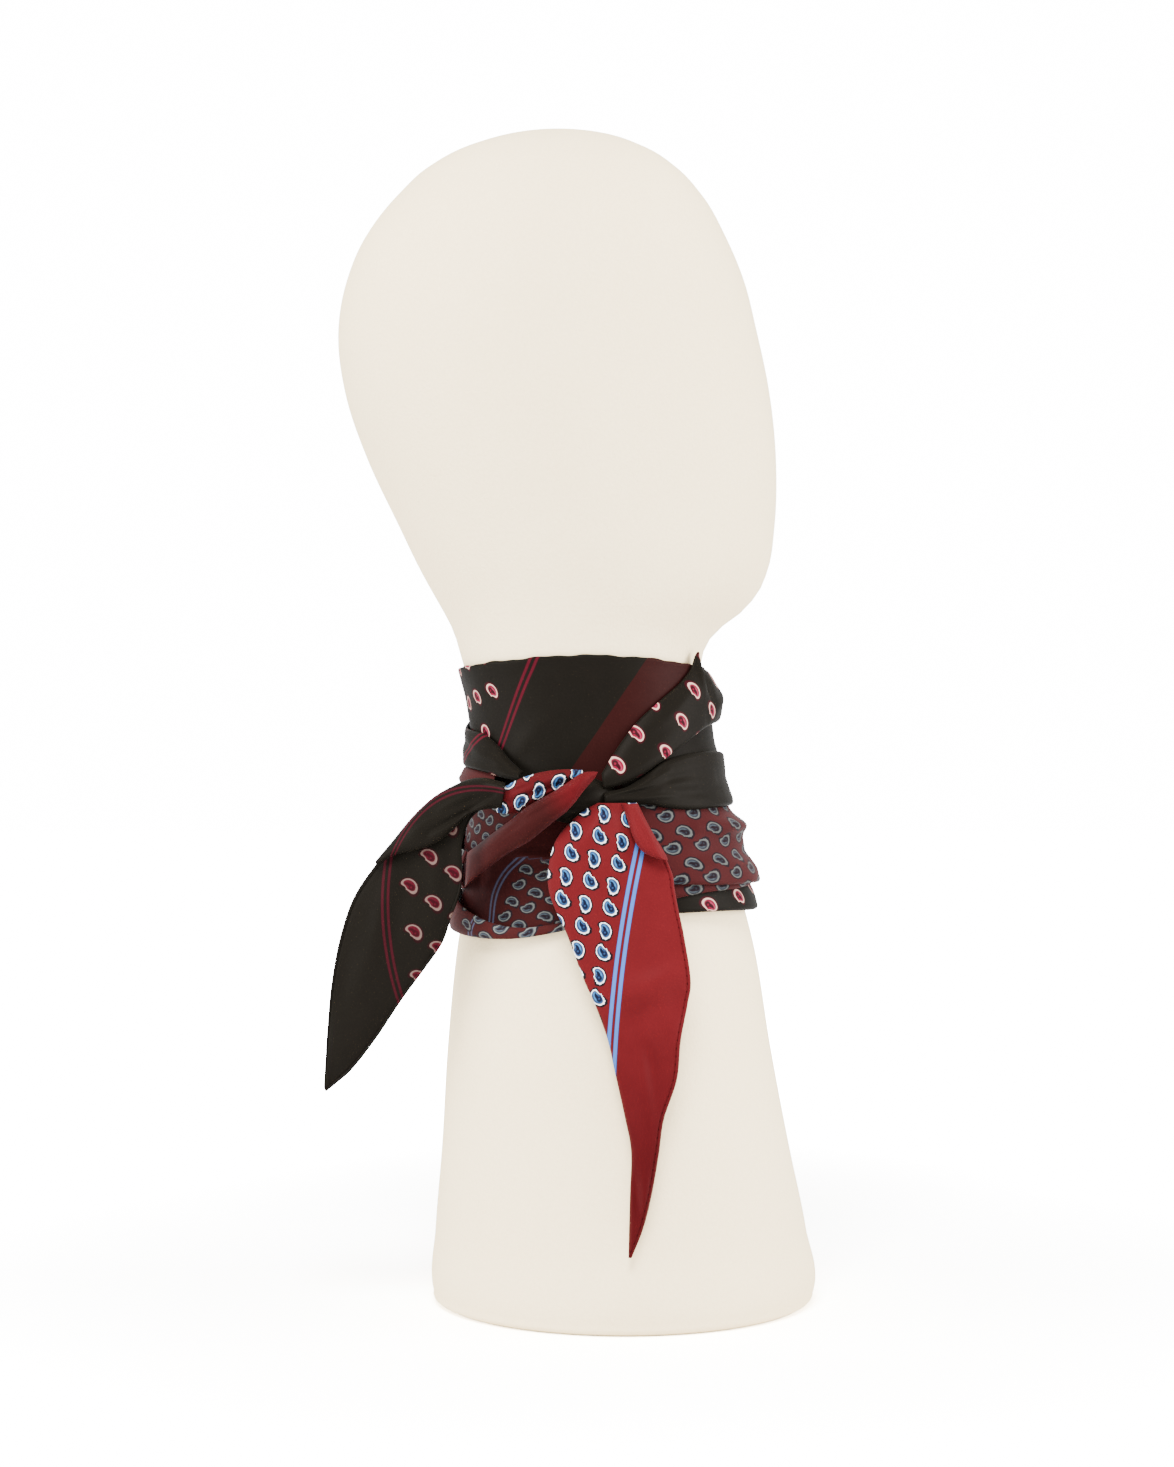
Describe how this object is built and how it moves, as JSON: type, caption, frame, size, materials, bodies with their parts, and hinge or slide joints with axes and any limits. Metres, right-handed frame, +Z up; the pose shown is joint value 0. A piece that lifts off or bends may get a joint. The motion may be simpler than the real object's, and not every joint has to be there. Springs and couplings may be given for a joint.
{
  "type": "silk scarf on a head form",
  "caption": "Printed silk scarf wound round the neck of a plain head form and knotted at the side, with two hanging tails.",
  "frame": {"origin": "centre of the head form's flat base, on the surface it stands on", "axes": "+Z up through the crown, +X the way the form faces, -Y the side with the knot"},
  "size_m": [0.2186, 0.1755, 0.5283],
  "materials": {
    "cream_cover": "matte, fine grain",
    "black_silk": "soft sheen, printed",
    "burgundy_silk": "soft sheen, printed",
    "red_silk": "soft sheen, printed"
  },
  "bodies": {
    "root": {"head_form": "cream_cover", "neck_wrap": "black_silk", "front_fold": "black_silk", "under_fold": "black_silk", "gather": "black_silk", "lower_wrap": "burgundy_silk", "under_roll": "burgundy_silk", "bottom_edge": "black_silk", "cowl": "burgundy_silk", "left_bulge": "black_silk", "knot_core": "black_silk", "knot_face": "red_silk", "sash": "burgundy_silk", "left_tail": "black_silk", "left_tail_flap": "black_silk", "right_tail": "red_silk", "right_tail_roll": "red_silk"}
  },
  "joints": []
}
